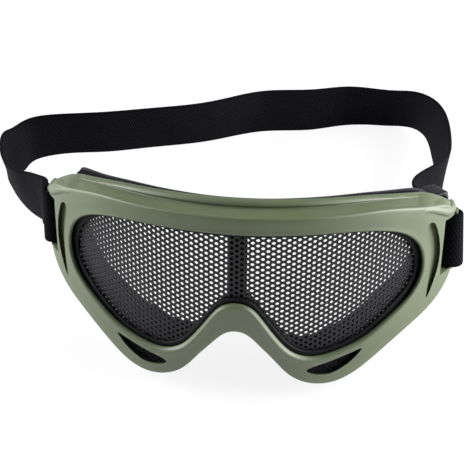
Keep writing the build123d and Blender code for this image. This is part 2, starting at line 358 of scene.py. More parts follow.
for side in (-1, 1):
    tab_rings = []
    for across, crest_reach, crest_up, crest_size, edge_reach, edge_up, edge_size in tab_line:
        tilt = atan2(crest_up - edge_up, edge_reach - crest_reach)
        tab_rings.append([])
        for centre_reach, centre_up, size, start in (
            (edge_reach, edge_up, edge_size, -pi / 2), (crest_reach, crest_up, crest_size, pi / 2)
        ):
            for step in range(tab_corners):
                turn = start - tilt + pi * step / (tab_corners - 1)
                reach = centre_reach + size * cos(turn)
                depth = front_radius - sqrt(max(reach**2 - across**2, 0))
                tab_rings[-1].append((side * across, depth, centre_up + size * sin(turn)))
    bar_centre = side * (bar_across - bar_inset)
    bar_rings = [
        [
            (bar_centre + bar_radius * cos(turn), bar_depth + bar_radius * sin(turn), up)
            for turn in np.arange(bar_corners) * 2 * pi / bar_corners
        ]
        for up in bar_heights
    ]
    slot_rings = [[(side * across, depth, up) for depth, up in slot_corners] for across in slot_sides]
    carve(frame_moulding, [make_tube("slot", slot_rings)])
    carve(frame_moulding, [make_tube("tab", tab_rings), make_tube("bar", bar_rings)], "UNION")

# Two open vents under the lens, slanting down towards the face, and two blind recesses beside it, all sickles
vent_half = [
    (29.6, 12.5), (30.9, 10.8), (34.3, 9.7), (38.5, 9.4), (42.5, 10.6), (46.3, 12.8), (49.6, 15.6), (52.3, 19.1),
    (49.5, 18.9), (45.5, 17.8), (41.0, 16.5), (36.5, 15.2), (32.6, 14.2),
]
vent_slant = 0.42
vent_depths = (-2.0, 28.0)
recess_half = [
    (77.0, 69.2), (79.2, 68.8), (80.9, 65.0), (82.5, 59.0), (83.3, 52.0), (82.9, 45.5), (81.5, 39.0), (79.0, 32.4),
    (79.0, 39.2), (79.2, 45.5), (79.1, 52.0), (78.1, 59.0), (76.7, 65.0),
]
recess_radii = (106.0, 101.8)
vent_line = smooth_curve(vent_half, 4)
recess_line = smooth_curve(recess_half, 3)
for side in (-1, 1):
    vent_rings = [
        [
            (side * across, depth, up - vent_slant * (depth - front_radius + sqrt(front_radius**2 - across**2)))
            for across, up in vent_line
        ]
        for depth in vent_depths
    ]
    recess_rings = [wrapped(recess_line, radius) * (side, 1, 1) for radius in recess_radii]
    carve(frame_moulding, [make_tube("vent", vent_rings), make_tube("recess", recess_rings)])
frame_moulding.data.shade_smooth()
frame_moulding.data.set_sharp_from_angle(angle=radians(38))

# Injection moulded PVC in olive, off a finely spark-eroded mould: a satin sheen that breaks up in the grain,
# slow cloudy shifts of tone from the pigment, and a painted highlight that makes the convex edges paler. The
# real grain of about 0.1 mm is too fine to show, so it is drawn at 0.5 mm.
grain_size = 0.5
cloud_size = 18.0
in_colour = {"data_type": "RGBA"}
pvc, tree, shader = new_material("olive_matt_pvc")
shader.inputs["Specular IOR Level"].default_value = 0.8
place = add_node(tree, "ShaderNodeTexCoord").outputs["Object"]
clouds = add_node(
    tree, "ShaderNodeTexNoise", None, {"Vector": place, "Scale": 1000 / cloud_size, "Detail": 4.0, "Roughness": 0.6}
)
pigment = add_node(
    tree, "ShaderNodeMix", in_colour, {0: clouds.outputs[0], 6: linear("#4a553a"), 7: linear("#586348")}
)
edges = add_node(tree, "ShaderNodeNewGeometry")
# Painted highlight: convex edges, found by their pointiness, are painted a paler grey green
painted_edge_highlight = add_node(
    tree, "ShaderNodeMapRange", None, {0: edges.outputs["Pointiness"], 1: 0.53, 2: 0.6, 3: 0.0, 4: 0.45}
)
add_node(
    tree, "ShaderNodeMix", in_colour, {0: painted_edge_highlight.outputs[0], 6: pigment.outputs[2], 7: linear("#7d866f")},
    shader.inputs["Base Color"],
)
grain = add_node(
    tree, "ShaderNodeTexNoise", None, {"Vector": place, "Scale": 1000 / grain_size, "Detail": 2.0, "Roughness": 0.5}
)
add_node(
    tree, "ShaderNodeMapRange", None, {0: clouds.outputs[0], 1: 0.3, 2: 0.7, 3: 0.46, 4: 0.56},
    shader.inputs["Roughness"],
)
add_node(
    tree, "ShaderNodeBump", None, {"Strength": 0.16, "Distance": 0.00012, "Height": grain.outputs[0]},
    shader.inputs["Normal"],
)
frame_moulding.data.materials.clear()
frame_moulding.data.materials.append(pvc)


# Lens: a 0.8 mm steel sheet, punched with 1.6 mm holes at 2.4 mm in staggered columns, rolled to the frame's
# curve and powder coated black. It lies in a rubber edging against the back of the face plate.
lens_radius = 99.5
lens_thickness = 0.8
hole_pitch = 2.4
hole_radius = 0.8
sheet_margin = 2.0
sheet_half_width = 80.0
hole_rows = 33
cells_past_opening = 1.0
holes_inside_opening = 0.3


def inside(points, loop):
    """Whether each point of an array lies inside a closed outline."""
    hits = np.zeros(len(points), int)
    for (x0, y0), (x1, y1) in zip(loop, np.roll(loop, -1, axis=0)):
        crosses = (points[:, 1] < y0) != (points[:, 1] < y1)
        hits += crosses & (points[:, 0] < x0 + (points[:, 1] - y0) / (y1 - y0 + 1e-9) * (x1 - x0))
    return hits % 2 == 1


column_step = hole_pitch * sqrt(3) / 2
columns = int(sheet_half_width / column_step)
cell_corners = 12
centres = np.array([
    (column * column_step, (row + column % 2 / 2) * hole_pitch)
    for column in range(-columns, columns + 1)
    for row in range(hole_rows)
])


def rolled(flat):
    """The place across the front of a point so far along the lens's arc."""
    return np.stack([lens_radius * np.sin(flat[:, 0] / lens_radius), flat[:, 1]], axis=1)


sheet_edge = opening + sheet_margin * outward
centres = centres[inside(rolled(centres), opening + cells_past_opening * outward)]
with_hole = inside(rolled(centres), opening - holes_inside_opening * outward)
lens_points = []
lens_index = {}
lens_faces = []


def lens_vertex(across, up):
    """The number of the sheet's point at a place on the flat, shared between the cells that meet there."""
    place = (round(across, 3), round(up, 3))
    if place not in lens_index:
        lens_index[place] = len(lens_points)
        lens_points.append(place)
    return lens_index[place]


# One six-sided cell of sheet round each hole
for (across, up), punched in zip(centres, with_hole):
    cell, hole = [], []
    for corner in range(cell_corners):
        turn = corner * 2 * pi / cell_corners
        reach = hole_pitch / (sqrt(3) if corner % 2 == 0 else 2)
        cell.append(lens_vertex(across + reach * cos(turn), up + reach * sin(turn)))
        if punched:
            hole.append(lens_vertex(across + hole_radius * cos(turn), up + hole_radius * sin(turn)))
    if punched:
        lens_faces += zip(cell, cell[1:] + cell[:1], hole[1:] + hole[:1], hole)
    else:
        lens_faces.append(tuple(cell))

# The cells' free corners are drawn out to the sheet's edge
lens_flat = np.array(lens_points)
edge_use = {}
for face in lens_faces:
    for edge in map(frozenset, zip(face, face[1:] + face[:1])):
        edge_use[edge] = edge_use.get(edge, 0) + 1
free_points = {place for edge, uses in edge_use.items() if uses == 1 for place in edge}
turned = rolled(lens_flat)
for place in free_points:
    if np.linalg.norm(centres - lens_flat[place], axis=1).min() > hole_radius + 0.1:
        turned[place] = sheet_edge[np.argmin(np.linalg.norm(sheet_edge - turned[place], axis=1))]
lens_depth = front_radius - np.sqrt(lens_radius**2 - turned[:, 0] ** 2)
mesh_sheet = make_piece(
    "mesh_sheet", np.stack([turned[:, 0], lens_depth, turned[:, 1]], axis=1), lens_faces, "root", "mesh_lens"
)
thicken = mesh_sheet.modifiers.new("thicken", "SOLIDIFY")
thicken.thickness = lens_thickness * millimetre
thicken.offset = 0
make_real(mesh_sheet)

# Black powder coat baked on steel: half matt and faintly orange-peeled, with a cold violet cast where it turns
# to the light. The peel of about 0.3 mm is drawn at 0.6 mm to show on the narrow webs.
peel_size = 0.6
steel, tree, shader = new_material("black_powder_coated_steel")
shader.inputs["Specular IOR Level"].default_value = 0.4
place = add_node(tree, "ShaderNodeTexCoord").outputs["Object"]
peel = add_node(
    tree, "ShaderNodeTexNoise", None, {"Vector": place, "Scale": 1000 / peel_size, "Detail": 2.0, "Roughness": 0.5}
)
add_node(
    tree, "ShaderNodeMix", in_colour, {0: peel.outputs[0], 6: linear("#09080c"), 7: linear("#16141d")},
    shader.inputs["Base Color"],
)
add_node(
    tree, "ShaderNodeMapRange", None, {0: peel.outputs[0], 1: 0.3, 2: 0.7, 3: 0.36, 4: 0.52},
    shader.inputs["Roughness"],
)
add_node(
    tree, "ShaderNodeBump", None, {"Strength": 0.25, "Distance": 0.0001, "Height": peel.outputs[0]},
    shader.inputs["Normal"],
)
mesh_sheet.data.materials.append(steel)


# Edging: a black rubber ring between the sheet and the frame, which shows inside the opening, wider at the
# sides than at the brow
edging_seat = 2.2
edging_at_brow = 1.6
edging_wider_at_sides = 1.8
lip = -(edging_at_brow + edging_wider_at_sides * ramp(np.abs(opening[:, 0]), 62.0, 6.0))[:, None]
edging_sections = [
    from_opening(out, radius)
    for out, radius in (
        (edging_seat, 101.3), (0.3, 101.3), (0.5 * lip, 101.3), (0.9 * lip, 101.15),
        (lip, 100.7), (0.95 * lip, 100.0), (0.5 * lip, 99.95), (edging_seat, 99.95),
    )
]
edging = make_hoop("edging", edging_sections, "lens_edging")
edging.data.shade_smooth()

# Extruded rubber, dusted with talc at the works: dull black with a faint grey bloom in patches of 4 mm and fine
# specks drawn at 0.4 mm
bloom_size = 4.0
speck_size = 0.4
rubber, tree, shader = new_material("black_rubber")
shader.inputs["Specular IOR Level"].default_value = 0.15
place = add_node(tree, "ShaderNodeTexCoord").outputs["Object"]
bloom = add_node(
    tree, "ShaderNodeTexNoise", None, {"Vector": place, "Scale": 1000 / bloom_size, "Detail": 3.0, "Roughness": 0.6}
)
add_node(
    tree, "ShaderNodeMix", in_colour, {0: bloom.outputs[0], 6: linear("#09090a"), 7: linear("#161617")},
    shader.inputs["Base Color"],
)
add_node(
    tree, "ShaderNodeMapRange", None, {0: bloom.outputs[0], 1: 0.3, 2: 0.7, 3: 0.5, 4: 0.7},
    shader.inputs["Roughness"],
)
speck = add_node(tree, "ShaderNodeTexNoise", None, {"Vector": place, "Scale": 1000 / speck_size, "Detail": 1.0})
add_node(
    tree, "ShaderNodeBump", None, {"Strength": 0.2, "Distance": 0.0001, "Height": speck.outputs[0]},
    shader.inputs["Normal"],
)
edging.data.materials.append(rubber)


# Retainer: a black nylon ring behind the lens, with the upright post that shows through the mesh at the nose.
# It presses the sheet and its edging against the frame.
retainer_sections = [
    from_opening(out, radius)
    for out, radius in (
        (2.2, 99.05), (-1.0, 99.05), (-1.3, 98.75), (-1.3, 97.6), (-1.0, 97.3), (1.8, 97.3), (2.2, 97.6)
    )
]
retainer = make_hoop("retainer", retainer_sections, "lens_retainer")
post_section = ((-4.0, 5.2), (-3.2, 4.95), (3.2, 4.95), (4.0, 5.2), (4.0, 6.7), (-4.0, 6.7))
post_ends = (43.4, 76.6)
post = make_tube("post", [[(across, depth, up) for across, depth in post_section] for up in post_ends], "root")

# Moulded nylon: an even satin black with faint streaks, 2.5 mm apart, where the melt ran along the ring
streak_size = 2.5
nylon, tree, shader = new_material("black_nylon")
shader.inputs["Specular IOR Level"].default_value = 0.15
place = add_node(tree, "ShaderNodeTexCoord").outputs["Object"]
streak = add_node(
    tree, "ShaderNodeTexNoise", None, {"Vector": place, "Scale": 1000 / streak_size, "Detail": 2.0, "Distortion": 1.5}
)
add_node(
    tree, "ShaderNodeMix", in_colour, {0: streak.outputs[0], 6: linear("#060606"), 7: linear("#0d0d0e")},
    shader.inputs["Base Color"],
)
add_node(
    tree, "ShaderNodeMapRange", None, {0: streak.outputs[0], 1: 0.3, 2: 0.7, 3: 0.42, 4: 0.58},
    shader.inputs["Roughness"],
)
add_node(
    tree, "ShaderNodeBump", None, {"Strength": 0.15, "Distance": 0.0001, "Height": streak.outputs[0]},
    shader.inputs["Normal"],
)
for piece in (retainer, post):
    piece.data.materials.append(nylon)


# Vent foam: two sickles of charcoal filter foam, cut a little larger than the vents and pushed in behind them
vent_out = vent_line - vent_line.mean(axis=0)
vent_out /= np.linalg.norm(vent_out, axis=1)[:, None]
foam_drop = 1.4
foam_layers = ((0.2, 100.6), (1.0, 100.5), (1.2, 100.1), (1.2, 99.2), (1.0, 98.8), (0.2, 98.7))

# Open-cell polyurethane foam, cut with a blade: dead matt charcoal, pitted by cells of 0.8 mm, with painted
# shade that darkens each cell's hollow to black and leaves its cut walls paler
cell_size = 0.8
open_foam, tree, shader = new_material("charcoal_polyurethane_foam")
shader.inputs["Roughness"].default_value = 0.95
shader.inputs["Specular IOR Level"].default_value = 0.03
place = add_node(tree, "ShaderNodeTexCoord").outputs["Object"]
cells = add_node(tree, "ShaderNodeTexVoronoi", None, {"Vector": place, "Scale": 1000 / cell_size, "Randomness": 1.0})
# One pit map raises the cut walls as bumps and paints shade into each cell's hollow
pits_and_pit_shade = add_node(tree, "ShaderNodeMapRange", None, {0: cells.outputs["Distance"], 1: 0.15, 2: 0.65, 3: 0.0, 4: 1.0})
add_node(
    tree, "ShaderNodeMix", in_colour, {0: pits_and_pit_shade.outputs[0], 6: linear("#080709"), 7: linear("#1e1c21")},
    shader.inputs["Base Color"],
)
add_node(
    tree, "ShaderNodeBump", None, {"Strength": 0.9, "Distance": 0.0004, "Height": pits_and_pit_shade.outputs[0]},
    shader.inputs["Normal"],
)
for side, side_name in ((-1, "left"), (1, "right")):
    foam_rings = [
        (wrapped(vent_line + grow * vent_out, radius) - (0, 0, foam_drop)) * (side, 1, 1)
        for grow, radius in foam_layers
    ]
    vent_foam = make_tube(f"{side_name}_vent_pad", foam_rings, "root", f"{side_name}_vent_foam")
    vent_foam.data.materials.append(open_foam)


# Face foam: a ring of soft charcoal foam glued to the frame's flange, deeper at the temples than at the nose.
# It is glued on a little askew: lower to the right of the nose than to the left, and out at the left brow.
foam_axis = 108.0
foam_inner_half = [
    (0.0, 40.5), (3.2, 39.5), (7.0, 36.0), (11.0, 30.0), (15.0, 24.5), (19.5, 21.0), (26.0, 19.5), (34.0, 21.0),
    (43.0, 24.5), (52.0, 29.0), (61.0, 34.5), (68.5, 40.0), (72.5, 45.0), (74.0, 50.5), (73.5, 57.0), (71.5, 63.5),
    (67.0, 68.5), (59.5, 71.0), (50.0, 72.3), (38.0, 73.2), (26.0, 73.8), (12.0, 74.1), (0.0, 74.2),
]
foam_inset = 4.0
sits_low_by = 2.4
brow_corner_shift = np.array([-3.4, -0.7])
foam_inner = smooth_curve(mirrored(foam_inner_half), ring_steps)
across, up = foam_inner.T
sits_low = np.exp(-(((across - 34.0) / 20.0) ** 2)) - np.exp(-(((across + 34.0) / 22.0) ** 2))
foam_inner[:, 1] = up - sits_low_by * sits_low * (up < 45.0)
across, up = rim.T
brow_corner = np.exp(-(((across + 76.0) / 13.0) ** 4)) * ramp(up, 62.0, 2.5)
foam_outer = rim - foam_inset * outward + brow_corner[:, None] * brow_corner_shift


def cupped(flat, radius):
    """Upright points at a radius round the face's upright axis, from an array of across and up."""
    return wrapped(flat, radius) + (0, foam_axis - front_radius, 0)


def between(flat, radius):
    """The points half way between the front's curve and the face's."""
    return (wrapped(flat, radius) + cupped(flat, radius)) / 2


foam_sections = [
    wrapped(foam_outer - 0.3 * outward, 91.95),
    wrapped(foam_outer + 0.3 * outward, 91.0),
    between(foam_outer + 0.6 * outward, 90.0),
    cupped(foam_outer + 0.24 * outward, 89.9),
    cupped(foam_outer - 0.5 * outward, 89.1),
    cupped(foam_inner + 0.5 * outward, 89.1),
    cupped(foam_inner - 0.24 * outward, 89.9),
    between(foam_inner - 0.6 * outward, 90.0),
    wrapped(foam_inner - 0.3 * outward, 91.0),
    wrapped(foam_inner + 0.3 * outward, 91.95),
]
foam_pad = make_hoop("foam_pad", foam_sections, "face_foam")
foam_pad.data.shade_smooth()
foam_pad.data.materials.append(open_foam)


# Fleece: a thin brushed knit laid on the foam's face side, dark violet grey, cut with the foam
fleece_sections = [
    cupped(foam_outer - 0.5 * outward, 89.05),
    cupped(foam_outer + 0.1 * outward, 88.8),
    cupped(foam_outer + 0.1 * outward, 88.1),
    cupped(foam_outer - 0.6 * outward, 87.5),
    cupped(foam_inner + 0.6 * outward, 87.5),
    cupped(foam_inner - 0.1 * outward, 88.1),
    cupped(foam_inner - 0.1 * outward, 88.8),
    cupped(foam_inner + 0.5 * outward, 89.05),
]
fleece = make_hoop("fleece", fleece_sections, "foam_facing")
fleece.data.shade_smooth()

# Knitted polyester, brushed to a nap: a soft violet grey that pales at its turning edges, over tufts of 1.2 mm
# with fibres drawn at 0.3 mm
tuft_size = 1.2
fibre_size = 0.3
knit, tree, shader = new_material("brushed_polyester_fleece")
shader.inputs["Roughness"].default_value = 0.95
shader.inputs["Specular IOR Level"].default_value = 0.03
shader.inputs["Sheen Weight"].default_value = 0.1
shader.inputs["Sheen Roughness"].default_value = 0.6
place = add_node(tree, "ShaderNodeTexCoord").outputs["Object"]
tufts = add_node(
    tree, "ShaderNodeTexNoise", None, {"Vector": place, "Scale": 1000 / tuft_size, "Detail": 3.0, "Distortion": 1.0}
)
add_node(
    tree, "ShaderNodeMix", in_colour, {0: tufts.outputs[0], 6: linear("#18161b"), 7: linear("#2d2a32")},
    shader.inputs["Base Color"],
)
fibres = add_node(tree, "ShaderNodeTexNoise", None, {"Vector": place, "Scale": 1000 / fibre_size, "Detail": 2.0})
pile = add_node(
    tree, "ShaderNodeMath", {"operation": "MULTIPLY_ADD"}, {0: fibres.outputs[0], 1: 0.4, 2: tufts.outputs[0]}
)
add_node(
    tree, "ShaderNodeBump", None, {"Strength": 0.8, "Distance": 0.0004, "Height": pile.outputs[0]},
    shader.inputs["Normal"],
)
fleece.data.materials.append(knit)


# Strap: woven elastic, 25 mm wide, black. At the left it is folded round the bar and sewn, at the right it goes
# round the bar and back through the adjuster. It is drawn as two pieces that meet in the middle of the back run.
webbing_width = 25.0
webbing_thickness = 1.6
layer_offset = 0.83
stub = Vector((-11.0, 27.0, 0.0))
along = stub.normalized()
sideways = Vector((along.y, -along.x, 0.0))


def run_lengths(line):
    """How far along a line each of its points is."""
    return np.concatenate([[0], np.cumsum(np.linalg.norm(np.diff(line, axis=0), axis=1))])


def webbing_section(low, high):
    """Rings of points along the webbing between two edge lines, each with soft rounded edges."""
    middle = (low + high) / 2
    up = high - low
    face = np.cross(np.gradient(middle, axis=0), up)
    face *= webbing_thickness / 2 / np.linalg.norm(face, axis=1)[:, None]
    edge = [(0.0, 0.0), (0.15, 0.55), (0.5, 0.85), (1.1, 1.0)]
    flat = [(place, 1.0) for place in np.linspace(edge[-1][0], webbing_width - edge[-1][0], 10)[1:-1]]
    front = edge + flat + [(webbing_width - place, stand) for place, stand in edge[::-1]]
    section = front + [(place, -stand) for place, stand in front[-2:0:-1]]
    rings = [low + up * (place / webbing_width) + face * stand for place, stand in section]
    return np.stack(rings, axis=1), run_lengths(middle), [place for place, stand in section]


def make_webbing(name, rings, lengths, places, ends, *nodes):
    """A length of webbing from its rings, closed at its cut end, with its real lengths as UVs."""
    piece = make_piece(name, rings.reshape(-1, 3), tube_faces(len(rings), len(places), ends), None, *nodes)
    piece.data.shade_smooth()
    piece.data.polygons[-1].use_smooth = False
    layer = piece.data.uv_layers.new(name="length")
    for loop in piece.data.loops:
        station, row = divmod(loop.vertex_index, len(places))
        layer.data[loop.index].uv = (lengths[station] * millimetre, places[row] * millimetre)
    return piece


def bar_fold(bar, low_radius, high_radius):
    """Edge lines round a bar, from the inner layer's throat to the main layer's. It may be wider at one edge."""
    edges = []
    for radius, up in (
        (low_radius, webbing_middle - webbing_width / 2), (high_radius, webbing_middle + webbing_width / 2)
    ):
        throat = [(radius + 2.6, 1.15), (radius + 0.6, 0.55 * radius + 0.4)]
        places = throat + [(radius * cos(turn), radius * sin(turn)) for turn in np.linspace(pi / 3, 5 * pi / 3, 17)]
        places += [(ahead, -aside) for ahead, aside in throat[::-1]]
        edge = [bar + along * ahead + sideways * aside for ahead, aside in places]
        edges.append(np.array([(point.x, point.y, up) for point in edge]))
    return edges


def second_layer(low, high, length, inward):
    """The folded end of the webbing, laid on a length of the main layer's edge lines, from its end to the throat."""
    middle = (low + high) / 2
    face = np.cross(np.gradient(middle, axis=0), high - low)
    face *= inward * 2 * layer_offset / np.linalg.norm(face, axis=1)[:, None]
    covered = run_lengths(middle) <= length
    return (low + face)[covered][::-1], (high + face)[covered][::-1]


def leaning_edges(stations):
    """Edge lines through stations of across, back, up and outward lean, smoothed."""
    line = smooth_curve(stations, 6, closed=False)
    ahead = np.gradient(line[:, :2], axis=0)
    ahead /= np.linalg.norm(ahead, axis=1)[:, None]
    out = np.stack([-ahead[:, 1], ahead[:, 0]], axis=1)
    lean = np.radians(line[:, 3:])
    reach = np.concatenate([out * np.sin(lean), np.cos(lean)], axis=1) * webbing_width / 2
    return line[:, :3] - reach, line[:, :3] + reach


left_bar = Vector((-bar_across, bar_depth, 0.0))
right_bar = Vector((bar_across, bar_depth, 0.0))
main_low, main_high = leaning_edges([
    (-93.1, 62.8, 53.25, 0), (-95.3, 69.1, 52.7, 0), (-99.1, 75.0, 51.6, 5), (-106.1, 82.9, 49.8, 9),
    (-114.5, 92.0, 48.0, 16), (-123.1, 104.2, 48.0, 16), (-129.2, 116.0, 49.8, 10), (-132.4, 128.0, 50.6, 3),
    (-130.1, 140.0, 48.8, 8), (-124.4, 150.8, 50.8, -3), (-106.3, 157.8, 52.0, -11), (-86.5, 163.0, 52.0, -10),
    (-62.2, 172.7, 52.1, -11), (-34.7, 186.5, 51.8, -9), (-8.2, 204.0, 52.5, -4), (18.9, 211.8, 52.0, -3),
    (40.9, 220.0, 52.5, -8), (62.6, 219.9, 52.4, -16), (77.7, 214.2, 54.0, -15), (87.2, 199.4, 53.9, 2),
    (90.8, 176.8, 53.1, 12), (91.5, 151.6, 52.0, 11), (90.1, 128.2, 51.0, 6), (85.4, 110.6, 51.4, -12),
    (79.6, 97.6, 52.0, -24), (77.1, 86.1, 51.9, -18), (81.2, 76.8, 52.6, -5), (84.6, 70.4, 53.1, -2),
    (87.4, 63.4, 53.25, 0),
])
sewn_length = 13.5
free_length = 19.0
left_low, left_high = bar_fold(left_bar, low_radius=3.5, high_radius=3.2)
left_tail_low, left_tail_high = second_layer(main_low, main_high, sewn_length, -1)
right_low, right_high = bar_fold(right_bar, low_radius=5.0, high_radius=2.7)
right_tail_low, right_tail_high = second_layer(main_low[::-1], main_high[::-1], free_length, 1)
rings, lengths, places = webbing_section(
    np.concatenate([left_tail_low, left_low, main_low, right_low, right_tail_low[::-1]]),
    np.concatenate([left_tail_high, left_high, main_high, right_high, right_tail_high[::-1]]),
)
meeting = len(left_tail_low) + len(left_low) + len(main_low) // 2
left_webbing = make_webbing(
    "left_webbing", rings[: meeting + 1], lengths, places, (True, False), "left_strap_loop", "strap"
)
right_webbing = make_webbing(
    "right_webbing", rings[meeting:], lengths[meeting:], places, (False, True), "right_strap_loop"
)

# Polyester woven over rubber cores: a dull black with rows of raised stitches, each row half a stitch on from the
# next, between two plain selvedges. The real rows and stitches of about 0.7 mm are drawn at 1.4 and 1.5 mm.
# The raised stitches are painted a paler violet grey as a painted highlight, weaker in patches of 11 mm.
row_size = 1.4
stitch_size = 1.5
selvedge = 1.3
highlight_patch_size = 11.1
times = {"operation": "MULTIPLY"}
plus = {"operation": "MULTIPLY_ADD"}
unsigned = {"operation": "ABSOLUTE"}
sine = {"operation": "SINE"}
elastic, tree, shader = new_material("black_woven_elastic")
shader.inputs["Roughness"].default_value = 0.85
shader.inputs["Specular IOR Level"].default_value = 0.04
shader.inputs["Sheen Weight"].default_value = 0.01
shader.inputs["Sheen Roughness"].default_value = 0.5
lengths_map = add_node(tree, "ShaderNodeUVMap", {"uv_map": "length"})
ways = add_node(tree, "ShaderNodeSeparateXYZ", None, {0: lengths_map.outputs[0]})
rows_across = add_node(tree, "ShaderNodeMath", times, {0: ways.outputs[1], 1: 1000 / row_size})
row_number = add_node(tree, "ShaderNodeMath", {"operation": "FLOOR"}, {0: rows_across.outputs[0]})
turns_along = add_node(tree, "ShaderNodeMath", times, {0: ways.outputs[0], 1: 2 * pi * 1000 / stitch_size})
shifted = add_node(tree, "ShaderNodeMath", plus, {0: row_number.outputs[0], 1: pi, 2: turns_along.outputs[0]})
stitch_wave = add_node(tree, "ShaderNodeMath", sine, {0: shifted.outputs[0]})
half_turns = add_node(tree, "ShaderNodeMath", times, {0: rows_across.outputs[0], 1: pi})
row_wave = add_node(tree, "ShaderNodeMath", sine, {0: half_turns.outputs[0]})
row_round = add_node(tree, "ShaderNodeMath", unsigned, {0: row_wave.outputs[0]})
stitch_height = add_node(tree, "ShaderNodeMath", plus, {0: stitch_wave.outputs[0], 1: 0.5, 2: 0.5})
raised = add_node(tree, "ShaderNodeMath", times, {0: stitch_height.outputs[0], 1: row_round.outputs[0]})
from_middle = add_node(
    tree, "ShaderNodeMath", {"operation": "SUBTRACT"}, {0: ways.outputs[1], 1: webbing_width / 2 * millimetre}
)
off_middle = add_node(tree, "ShaderNodeMath", unsigned, {0: from_middle.outputs[0]})
in_weave = add_node(
    tree, "ShaderNodeMath", {"operation": "LESS_THAN"},
    {0: off_middle.outputs[0], 1: (webbing_width / 2 - selvedge) * millimetre},
)
weave = add_node(tree, "ShaderNodeMath", times, {0: raised.outputs[0], 1: in_weave.outputs[0]})
highlight_patches = add_node(
    tree, "ShaderNodeTexNoise", None, {"Vector": lengths_map.outputs[0], "Scale": 1000 / highlight_patch_size, "Detail": 3.0}
)
# Painted highlight: the raised stitches are painted paler, more strongly in some patches than in others
painted_stitch_highlight = add_node(tree, "ShaderNodeMath", times, {0: weave.outputs[0], 1: highlight_patches.outputs[0]})
add_node(
    tree, "ShaderNodeMix", in_colour, {0: painted_stitch_highlight.outputs[0], 6: linear("#08080a"), 7: linear("#1d1c25")},
    shader.inputs["Base Color"],
)
add_node(
    tree, "ShaderNodeBump", None, {"Strength": 0.6, "Distance": 0.0003, "Height": weave.outputs[0]},
    shader.inputs["Normal"],
)
for piece in (left_webbing, right_webbing):
    piece.data.materials.append(elastic)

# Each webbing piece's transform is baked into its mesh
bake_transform(left_webbing)
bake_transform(right_webbing)

# Stitching: three rows of black bonded polyester thread across the sewn end at the left bar, each a line of
# lockstitches pulled a little into the webbing
stitch_rows = (6.4, 9.0, 11.6)
stitches_in_row = 9
stitch_length = 2.1
thread_radius = 0.35
thinnest_share = 0.12
thread_stand = 0.22
thread_dip = 0.28
thread_steps = 6
thread_corners = 8
row_margin = 1.6


def strap_frame(low, high, distance):
    """The middle of the webbing, its direction, its outer face and its up, so far along two edge lines."""
    middle = (low + high) / 2
    reach = run_lengths(middle)
    here, there, upward = (
        np.array([np.interp(place, reach, line[:, axis]) for axis in range(3)])
        for place, line in ((distance, middle), (distance + 1.0, middle), (distance, high - low))
    )
    ahead = (there - here) / np.linalg.norm(there - here)
    upward /= np.linalg.norm(upward)
    face = np.cross(ahead, upward)
    return here, ahead, face / np.linalg.norm(face), upward


thread_points, thread_faces = [], []
for row in stitch_rows:
    here, ahead, face, upward = strap_frame(main_low, main_high, row)
    face *= -np.sign(face[0])
    for stitch in range(stitches_in_row):
        spread = (webbing_width - 2 * row_margin) / stitches_in_row
        centre = here + upward * (stitch - (stitches_in_row - 1) / 2) * spread
        first = len(thread_points)
        for share in np.linspace(-1, 1, thread_steps + 1):
            size = thread_radius * max(1 - share**4, thinnest_share)
            stand = webbing_thickness / 2 + thread_stand - thread_dip * share**2
            core = centre + upward * share * stitch_length / 2 + face * stand
            for turn in np.arange(thread_corners) * 2 * pi / thread_corners:
                thread_points.append(core + ahead * size * cos(turn) + face * size * sin(turn))
        thread_faces += [
            tuple(first + corner for corner in corners) for corners in tube_faces(thread_steps + 1, thread_corners)
        ]
stitching = make_piece("stitching", thread_points, thread_faces, "left_loop", "left_loop_stitching")
stitching.data.shade_smooth()

# Bonded polyester thread: black with a slight shine, its plies showing as slanting bands 0.5 mm apart
ply_size = 0.5
thread, tree, shader = new_material("black_bonded_thread")
shader.inputs["Roughness"].default_value = 0.5
shader.inputs["Specular IOR Level"].default_value = 0.35
place = add_node(tree, "ShaderNodeTexCoord").outputs["Object"]
plies = add_node(
    tree, "ShaderNodeTexWave", {"bands_direction": "DIAGONAL"}, {"Vector": place, "Scale": 1000 / ply_size / 20}
)
add_node(
    tree, "ShaderNodeMix", in_colour, {0: plies.outputs[1], 6: linear("#111015"), 7: linear("#26242c")},
    shader.inputs["Base Color"],
)
add_node(
    tree, "ShaderNodeBump", None, {"Strength": 0.5, "Distance": 0.0001, "Height": plies.outputs[1]},
    shader.inputs["Normal"],
)
stitching.data.materials.append(thread)


# Adjuster: a ladder slider moulded in black acetal, with two ribbed end bars outside the doubled webbing and a
# ribbed middle bar inside it, joined by a rail over each edge of the webbing
adjuster_reach = 12.2
slider_length = 12.0
slider_bar = 2.9
slider_thickness = 2.1
slider_rail = 2.2
rail_play = 0.3
bar_play = 0.2
bar_overlap = 0.4
rib_count = 3
rib_height = 0.22
part_corners = 32
rounding_start = 0.86
rounding_depth = 0.45
end_shares = (-1, -0.985, -0.94, -rounding_start, -0.7, 0, 0.7, rounding_start, 0.94, 0.985, 1)
here, ahead, face, upward = strap_frame(main_low[::-1], main_high[::-1], adjuster_reach)
face *= np.sign(face[0])
slider_middle = here - face * layer_offset
bar_stand = 2 * layer_offset + bar_play + slider_thickness / 2
rail_stand = webbing_width / 2 + rail_play + slider_rail / 2


def slider_part(centre, run, width, thickness, ribs):
    """The rings of a bar of the slider, from its three half sizes, rounded at the ends and ribbed on its face."""
    rings = []
    for share in end_shares:
        past_start = max(abs(share) - rounding_start, 0) / (1 - rounding_start)
        shrink = 1 - rounding_depth * past_start**2
        ribbed = ribs and past_start == 0
        rings.append([])
        for turn in np.arange(part_corners) * 2 * pi / part_corners:
            wide = abs(cos(turn)) ** 0.5 * (1 if cos(turn) > 0 else -1)
            thick = abs(sin(turn)) ** 0.5 * (1 if sin(turn) > 0 else -1)
            rib = rib_height * cos(wide * ribs * pi) if ribbed and thick > 0.6 else 0
            raised = thickness * (thick + rib / np.linalg.norm(thickness))
            rings[-1].append(centre + run * share + (width * wide + raised) * shrink)
    return rings


